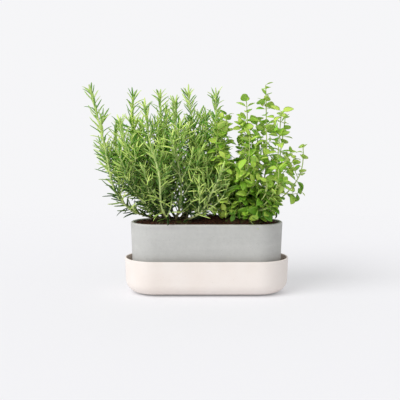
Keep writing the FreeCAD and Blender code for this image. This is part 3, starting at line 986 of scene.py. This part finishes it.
class Bush:
    """The stems of one shoot, gathered as chains of joints for the leafy tree."""

    def __init__(self, seed):
        self.rng = random.Random(seed)
        self.points = []
        self.edges = []
        self.marks = {"girth": [], "vigour": [], "twist": []}

    def add(self, stem, spacing, crowding, thick, thin, bare, foot_vigour, tip_vigour):
        """A stem with its joints, its radius at foot and tip, and a bare length below its first leaves."""
        twist = self.rng.uniform(0, math.pi)
        for i, share in enumerate(stem.joints(spacing, crowding)):
            if i:
                self.edges.append((len(self.points) - 1, len(self.points)))
            self.points.append(stem.part_way(share)[0])
            leafy_share = (share * stem.length - bare) / max(1e-6, stem.length - bare)
            vigour = foot_vigour + (tip_vigour - foot_vigour) * leafy_share ** 3
            self.marks["girth"].append(thick + (thin - thick) * share)
            self.marks["vigour"].append(vigour if leafy_share >= 0 else 0.0)
            self.marks["twist"].append(twist)

    def add_side(self, main, share, length, spread_deg, rise, margin, leafing):
        """A side shoot, unless its tip would come within the margin of the CAD model's box."""
        side = side_stem(self.rng, main, share, length, spread_deg, rise)
        if inside_box(side.tip, margin):
            self.add(side, **leafing)

    def branch(self, main, count, reach, lengths, fall, **habit):
        """Side shoots scattered up a share of the main stem, shorter the higher they leave it."""
        for k in range(count):
            share = lowest_side + reach * (k + self.rng.random()) / count
            length = self.rng.uniform(*lengths) * (fall - share)
            self.add_side(main, share, length, **habit)

    def leafed(self, name, looks, seed):
        """The shoot's piece, with the leafy tree's result as its mesh."""
        piece = loose_mesh(name, self.points, self.edges)
        mark_points(piece.data, self.marks)
        limits = {"Lowest Place": leaf_lowest, "Highest Place": leaf_highest, "Seed": seed}
        run_tree(piece, leafy, looks | limits)
        return piece


def inside_box(point, margin):
    """Whether a point keeps a margin from the sides and the top of the whole CAD model."""
    low, high = cad_box
    beside = all(low[k] + margin < point[k] < high[k] - margin for k in (0, 1))
    return beside and point.z < high.z - margin


def side_stem(rng, parent, share, length, spread_deg, rise):
    """A side shoot that leaves its parent at an angle and then turns up towards the light."""
    start, heading = parent.part_way(share)
    turn = rng.uniform(0, 2 * math.pi)
    aside = Vector((math.cos(turn), math.sin(turn), 0))
    aside = (aside - heading * aside.dot(heading)).normalized()
    angle = math.radians(rng.uniform(0.7, 1.3) * spread_deg)
    away = heading * math.cos(angle) + aside * math.sin(angle)
    elbow = start + away * (length * 0.5)
    tip = elbow + (away * (1 - rise) + Vector((0, 0, 1)) * rise).normalized() * (length * 0.5)
    return Stem(start, elbow, tip)


def shoot_stem(ball_node, route, spread, height, stem_width):
    """The centre line of one of the model's shoots, from shares of its plant's spread and height."""
    low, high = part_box(ball_node)
    middle = Vector(((low.x + high.x) / 2, 0, high.z))
    reach = (high.x - low.x) / 2 - ball_rim - stem_width
    foot, elbow, tip, sway = route
    ends = [middle + Vector((foot[0] * reach, foot[1] * reach, -root_depth))]
    ends += [middle + Vector((end[0] * spread, end[1] * spread, end[2] * height)) for end in (elbow, tip)]
    return Stem(*ends, Vector((sway * spread, 0, 0)))


rosemary_spread = 0.160
rosemary_height = 0.250
rosemary_stem_width = 0.003
rosemary_seed = 100
rosemary_side_counts = (5,) + (15,) * 13
needle_green = (0.10, 0.300, 0.009, 1)
# The colour of the painted shade low in the rosemary, near the soil.
needle_shade = (0.014, 0.045, 0.003, 1)
needle_fresh = (0.72, 0.90, 0.235, 1)
needle_grey = (0.44, 0.66, 0.23, 1)
wood_young = (0.60, 0.72, 0.28, 1)
wood_old = (0.16, 0.10, 0.055, 1)
rosemary_main = {
    "spacing": 0.0060, "crowding": 1.35, "thick": 0.0024, "thin": 0.0016, "bare": 0.008,
    "foot_vigour": 1.0, "tip_vigour": 0.8,
}
rosemary_side = {
    "spacing": 0.0060, "crowding": 1.25, "thick": 0.0014, "thin": 0.0009, "bare": 0.004,
    "foot_vigour": 0.95, "tip_vigour": 0.8,
}
rosemary_branching = {
    "reach": 0.70, "lengths": (0.040, 0.100), "fall": 1.1, "spread_deg": 40, "rise": 0.65,
    "margin": 0.016, "leafing": rosemary_side,
}
rosemary_shares = (
    ((-0.85, 0.00), (-0.90, 0.00, 0.10), (-0.98, 0.00, 1.00), -0.075),
    ((-0.62, 0.30), (-0.46, 0.14, 0.30), (-0.48, 0.16, 0.90), 0.03),
    ((-0.70, -0.40), (-0.56, -0.22, 0.25), (-0.60, -0.26, 0.72), -0.03),
    ((-0.45, 0.70), (-0.66, 0.24, 0.15), (-0.70, 0.30, 0.66), 0.03),
    ((-0.25, -0.05), (-0.20, 0.00, 0.40), (-0.16, 0.02, 0.90), -0.02),
    ((0.10, -0.55), (0.12, -0.24, 0.30), (0.02, -0.16, 0.86), 0.03),
    ((-0.25, -0.80), (-0.14, -0.42, 0.18), (-0.24, -0.40, 0.54), -0.03),
    ((0.35, 0.05), (0.42, 0.02, 0.30), (0.17, 0.03, 0.92), 0.02),
    ((0.75, -0.15), (0.44, -0.06, 0.42), (0.49, 0.00, 0.91), -0.03),
    ((0.60, 0.60), (0.30, 0.34, 0.30), (0.38, 0.36, 0.76), 0.03),
    ((0.05, 0.80), (-0.20, 0.36, 0.30), (-0.10, 0.36, 0.80), -0.03),
    ((0.65, -0.60), (0.42, -0.34, 0.08), (0.55, -0.36, 0.36), 0.02),
    ((-0.40, -0.50), (-0.30, -0.12, 0.30), (-0.32, -0.12, 0.82), -0.02),
    ((-0.20, 0.50), (-0.46, 0.38, 0.20), (-0.46, 0.42, 0.60), 0.03),
)


def attribute(finish, name):
    return finish.add("ShaderNodeAttribute", {"attribute_name": name})["Fac"]


def needle_finish():
    finish = Finish("Rosemary needles")
    tone, below = attribute(finish, "tone"), attribute(finish, "below")
    along, along_leaf = attribute(finish, "along"), attribute(finish, "along_leaf")
    young = (along * 0.45 + tone * 1.2 - 0.42).ramp(0.05, 0.95)
    # Painted shade: needles low in the clump, near the soil, are darkened towards a near-black green, some
    # leaves more than others.
    low_shade = finish.z.ramp(soil_top, soil_top + 0.16, 1.0, 0.0) * tone.ramp(0.45, 0.90, 1.0, 0.0)
    upper = finish.mix(young, needle_green, needle_fresh)
    lit_foot = finish.mix(along_leaf.ramp(0.0, 0.3, 0.5, 0.0), upper, needle_fresh)
    both_sides = finish.mix(below * 0.75, lit_foot, needle_grey)
    return finish.shade({
        "Base Color": finish.mix(low_shade, both_sides, needle_shade),
        "Roughness": 0.38 + below * 0.35,
        "Normal": finish.bumped(finish.mottle(1500.0, 2.0), 0.0002, 0.4),
        "Subsurface Weight": 0.12,
        "Subsurface Radius": (0.35, 1.0, 0.15),
        "Subsurface Scale": 0.0015,
        "Specular IOR Level": 0.34,
    })


def rosemary_wood():
    finish = Finish("Rosemary wood")
    along = attribute(finish, "along")
    bark = finish.mottle(700.0, 4.0, 0.7)
    height = finish.z.ramp(soil_top, soil_top + 0.07)
    youth = (along.ramp(0.0, 0.3) + height * 0.6 + bark * 0.2).least(1.0)
    return finish.shade({
        "Base Color": finish.mix(youth, wood_old, wood_young),
        "Roughness": 0.75 - along * 0.2,
        "Normal": finish.bumped(bark, 0.0004, 0.6),
    })


needle_ring = ((-1, 0), (-0.5, 0.9), (0.5, 0.9), (1, 0), (0, -0.35))
needle_rows = (
    (0.0, 0.030, 0.024), (0.10, 0.050, 0.038), (0.35, 0.071, 0.050),
    (0.68, 0.066, 0.044), (0.90, 0.043, 0.032), (1.0, 0.010, 0.008),
)
needle_bends = (-0.24, -0.04, 0.20)
needle_kinds = bpy.data.collections.new("needle kinds")
for number, bend in enumerate(needle_bends):
    needle_kinds.objects.link(leaf_mesh(f"needle_{number}", needle_rows, needle_ring, bend))

rosemary_looks = {
    "Leaf Length": 0.028,
    "Tilt at Foot": math.radians(56),
    "Tilt at Tip": math.radians(32),
    "Tilt Spread": math.radians(12),
    "Turn Spread": math.radians(16),
    "Roll Spread": math.radians(20),
    "Size Spread": 0.14,
    "Leaves": needle_kinds,
    "Leaf Material": needle_finish(),
    "Stem Material": rosemary_wood(),
}
for number, route in enumerate(rosemary_shares):
    name = f"rosemary_shoot_{number + 1:02d}"
    bush = Bush(rosemary_seed + number)
    main = shoot_stem("rosemary_root_ball", route, rosemary_spread, rosemary_height, rosemary_stem_width)
    bush.add(main, **rosemary_main)
    bush.branch(main, rosemary_side_counts[number], **rosemary_branching)
    plant = bush.leafed(name + "_needles", rosemary_looks, number)
    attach(plant, "pot")
    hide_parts(name)


# Oregano.
# Thin stems with oval leaves in opposite pairs, large low down and smaller at the tip, with short
# leafy side shoots, a few of them low over the soil. The leaves are soft, folded a little along the
# rib and fresh green, paler below. Old stems are brownish where they leave the root ball.
oregano_spread = 0.130
oregano_height = 0.245
oregano_stem_width = 0.0024
oregano_seed = 300
oregano_leaf_seed = 50
oregano_side_counts = (5, 13, 4, 2, 15, 15, 15, 9, 4, 12, 15, 15)
oval_green = (0.265, 0.59, 0.020, 1)
oval_shade = (0.070, 0.19, 0.008, 1)
# The colour of the painted shade low in the oregano, near the soil.
oval_fresh = (0.52, 0.71, 0.11, 1)
oval_pale = (0.48, 0.62, 0.18, 1)
stem_green = (0.50, 0.61, 0.20, 1)
stem_brown = (0.22, 0.15, 0.08, 1)
oregano_spacing = 0.015
oregano_main = {
    "spacing": oregano_spacing, "crowding": 1.2, "thick": 0.0015, "thin": 0.0009, "bare": 0.006,
    "foot_vigour": 0.95, "tip_vigour": 0.75,
}
oregano_side = {
    "spacing": oregano_spacing * 0.7, "crowding": 1.15, "thick": 0.0008, "thin": 0.0005, "bare": 0.004,
    "foot_vigour": 0.95, "tip_vigour": 0.6,
}
oregano_branching = {
    "reach": 0.80, "lengths": (0.034, 0.078), "fall": 1.15, "spread_deg": 48, "rise": 0.45,
    "margin": 0.014, "leafing": oregano_side,
}
low_shoot_count = 5
low_shoot_step = 0.03
low_shoot_lengths = (0.018, 0.034)
low_leafing = {
    "spacing": oregano_spacing * 0.7, "crowding": 1.0, "thick": 0.0007, "thin": 0.0005, "bare": 0.003,
    "foot_vigour": 0.8, "tip_vigour": 0.6,
}
low_habit = {"spread_deg": 78, "rise": 0.15, "margin": 0.010, "leafing": low_leafing}
oregano_shares = (
    ((0.35, 0.10), (0.48, 0.06, 0.40), (0.32, 0.06, 1.00), 0.03),
    ((-0.15, 0.20), (0.02, 0.10, 0.40), (0.05, 0.12, 0.87), -0.03),
    ((0.75, -0.25), (0.60, -0.20, 0.42), (0.52, -0.22, 0.80), 0.03),
    ((0.85, 0.10), (0.76, 0.06, 0.10), (0.87, 0.05, 0.52), -0.05),
    ((-0.60, -0.30), (-0.42, -0.22, 0.32), (-0.33, -0.26, 0.74), 0.04),
    ((-0.10, -0.70), (-0.02, -0.42, 0.25), (0.06, -0.46, 0.62), -0.03),
    ((-0.80, 0.15), (-0.52, 0.05, 0.15), (-0.48, 0.00, 0.46), 0.03),
    ((0.10, 0.75), (0.20, 0.42, 0.30), (0.22, 0.46, 0.72), -0.03),
    ((0.65, 0.60), (0.66, 0.36, 0.30), (0.64, 0.40, 0.74), 0.03),
    ((0.45, -0.75), (0.40, -0.50, 0.12), (0.46, -0.52, 0.38), -0.03),
    ((-0.45, 0.65), (-0.28, 0.38, 0.25), (-0.22, 0.36, 0.76), 0.03),
    ((0.20, -0.90), (0.24, -0.42, 0.12), (0.30, -0.54, 0.28), -0.03),
)


def oval_finish():
    finish = Finish("Oregano leaves")
    tone, below = attribute(finish, "tone"), attribute(finish, "below")
    along = attribute(finish, "along")
    along_leaf, across_leaf = attribute(finish, "along_leaf"), attribute(finish, "across_leaf")
    off_rib = abs(across_leaf)
    rib = off_rib.ramp(0.0, 0.14, 1.0, 0.0)
    side_ribs = ((along_leaf * 9 - off_rib * 2.2) % 1.0).ramp(0.0, 0.2, 1.0, 0.0)
    young = (along * 0.6 + tone * 0.7 - 0.2).ramp(0.0, 1.0)
    # Painted shade: leaves low over the soil are darkened, some leaves more than others.
    low_shade = finish.z.ramp(soil_top, soil_top + 0.12, 1.0, 0.0) * tone.ramp(0.35, 0.85, 1.0, 0.0)
    upper = finish.mix(young, oval_green, oval_fresh)
    ribbed = finish.mix(rib * 0.4 + side_ribs * 0.12, upper, oval_pale)
    downy = finish.mottle(1300.0, 3.0)
    return finish.shade({
        "Base Color": finish.mix(low_shade, finish.mix(below * 0.55, ribbed, oval_pale), oval_shade),
        "Roughness": 0.5 + below * 0.2 + downy * 0.1,
        "Normal": finish.bumped(downy * 0.3 - rib * 0.5 - side_ribs * 0.4, 0.0005, 0.5),
        "Subsurface Weight": 0.18,
        "Subsurface Radius": (0.35, 1.0, 0.12),
        "Subsurface Scale": 0.002,
        "Specular IOR Level": 0.36,
    })


def oregano_stem_finish():
    finish = Finish("Oregano stems")
    along = attribute(finish, "along")
    down = finish.mottle(900.0, 3.0)
    return finish.shade({
        "Base Color": finish.mix((along + down * 0.3).ramp(0.0, 0.55), stem_brown, stem_green),
        "Roughness": 0.65 - along * 0.1,
        "Normal": finish.bumped(down, 0.0003, 0.5),
    })


oval_ring = ((-1, 0), (-0.5, 0.5), (0, 0.35), (0.5, 0.5), (1, 0), (0.5, -0.5), (0, -0.9), (-0.5, -0.5))
oval_rows = (
    (0.0, 0.022, 0.022), (0.15, 0.034, 0.022), (0.23, 0.20, 0.018), (0.38, 0.325, 0.018),
    (0.58, 0.325, 0.016), (0.78, 0.235, 0.014), (0.92, 0.11, 0.010), (1.0, 0.014, 0.006),
)
oval_bends_and_folds = ((-0.18, 0.16), (-0.50, 0.26), (-0.02, 0.30))
oval_kinds = bpy.data.collections.new("oval kinds")
for number, (bend, fold) in enumerate(oval_bends_and_folds):
    oval_kinds.objects.link(leaf_mesh(f"oval_{number}", oval_rows, oval_ring, bend, fold))

oregano_looks = {
    "Leaf Length": 0.0260,
    "Tilt at Foot": math.radians(88),
    "Tilt at Tip": math.radians(50),
    "Tilt Spread": math.radians(26),
    "Turn Spread": math.radians(22),
    "Roll Spread": math.radians(36),
    "Size Spread": 0.28,
    "Leaves": oval_kinds,
    "Leaf Material": oval_finish(),
    "Stem Material": oregano_stem_finish(),
}
for number, route in enumerate(oregano_shares):
    name = f"oregano_shoot_{number + 1:02d}"
    bush = Bush(oregano_seed + number)
    main = shoot_stem("oregano_root_ball", route, oregano_spread, oregano_height, oregano_stem_width)
    bush.add(main, **oregano_main)
    bush.branch(main, oregano_side_counts[number], **oregano_branching)
    for k in range(low_shoot_count):
        length = bush.rng.uniform(*low_shoot_lengths)
        bush.add_side(main, low_shoot_step + low_shoot_step * k, length, **low_habit)
    plant = bush.leafed(name + "_leaves", oregano_looks, oregano_leaf_seed + number)
    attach(plant, "pot")
    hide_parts(name)


# Floor.
# A plain pale studio table that fades into the backdrop before its edge, so no horizon shows.
# It looks a little lighter than it is lit, but not under the tray, where its shadow stays.
floor_radius = 4.0
floor_sides = 96
floor_white = (0.87, 0.865, 0.895, 1)
floor_lift = 0.4
fade_start, fade_end = 0.45, 1.6
backdrop_white = (0.92, 0.92, 0.935, 1)


def rays_that_show(nodes):
    """1 for rays that show what they meet: from the camera, mirrored, or through something clear."""
    rays = nodes.add("ShaderNodeLightPath")
    return rays["Is Camera Ray"].most(rays["Is Glossy Ray"]).most(rays["Is Transmission Ray"])


def floor_finish():
    finish = Finish("Studio floor")
    away = finish.add("ShaderNodeVectorMath", {"operation": "LENGTH"}, {0: finish.place})["Value"]
    paint = finish.add("ShaderNodeBsdfDiffuse", {}, {"Color": floor_white})["BSDF"]
    glow = finish.add("ShaderNodeEmission", {}, {"Color": backdrop_white, "Strength": 1.0})["Emission"]
    clear_of_tray = from_spine(finish).ramp(base_radius - 0.03, tray_radius + 0.01)
    lift = rays_that_show(finish) * clear_of_tray * floor_lift
    lifted = finish.add("ShaderNodeMixShader", {}, {0: lift, 1: paint, 2: glow})["Shader"]
    clear = finish.add("ShaderNodeBsdfTransparent")["BSDF"]
    fade = away.ramp(fade_start, fade_end)
    mixed = finish.add("ShaderNodeMixShader", {}, {0: fade, 1: lifted, 2: clear})["Shader"]
    finish.add("ShaderNodeOutputMaterial", {}, {"Surface": mixed})
    return finish.material


floor_net = bmesh.new()
bmesh.ops.create_circle(floor_net, cap_ends=True, segments=floor_sides, radius=floor_radius)
floor = placed("floor", mesh_of(floor_net, "floor"))
floor.data.materials.append(floor_finish())


# Light.
# A white room, and one large soft lamp high on the left in front of the planter.
# Where the room itself is seen, it has the backdrop's colour.
room_white = (1, 1, 1, 1)
room_strength = 0.61
lamp_strength = 2.02
lamp_size_deg = 42
lamp_aim = Vector((0.75, 0.62, -0.85))


def light_room():
    world = bpy.data.worlds.new("Studio")
    world.use_nodes = True
    bpy.context.scene.world = world
    nodes = Nodes(world.node_tree)
    world.node_tree.nodes.clear()
    kind = "ShaderNodeBackground"
    lit = nodes.add(kind, {}, {"Color": room_white, "Strength": room_strength})["Background"]
    seen = nodes.add(kind, {}, {"Color": backdrop_white, "Strength": 1.0})["Background"]
    mixed = nodes.add("ShaderNodeMixShader", {}, {0: rays_that_show(nodes), 1: lit, 2: seen})["Shader"]
    nodes.add("ShaderNodeOutputWorld", {}, {"Surface": mixed})


light_room()
lamp_data = bpy.data.lights.new("Soft lamp", "SUN")
lamp_data.energy = lamp_strength
lamp_data.angle = math.radians(lamp_size_deg)
lamp = placed("Soft lamp", lamp_data)
lamp.rotation_euler = lamp_aim.to_track_quat("-Z", "Y").to_euler()


# Camera.
# It stands a metre and a half in front, a little higher than the herbs' middle, and looks down on
# the planter by about seven degrees.
camera_place = Vector((-0.01244, -1.50004, 0.35356))
camera_pitch = 0.118
sensor_mm = 36.0
focal_px = 800.6
picture_px = 400
camera_data = bpy.data.cameras.new("Camera")
camera_data.sensor_width = sensor_mm
camera_data.lens = sensor_mm * focal_px / picture_px
camera = placed("Camera", camera_data)
camera.location = camera_place
camera.rotation_euler = (math.pi / 2 - camera_pitch, 0, 0)
bpy.context.scene.camera = camera
bpy.context.scene.view_settings.view_transform = "Standard"
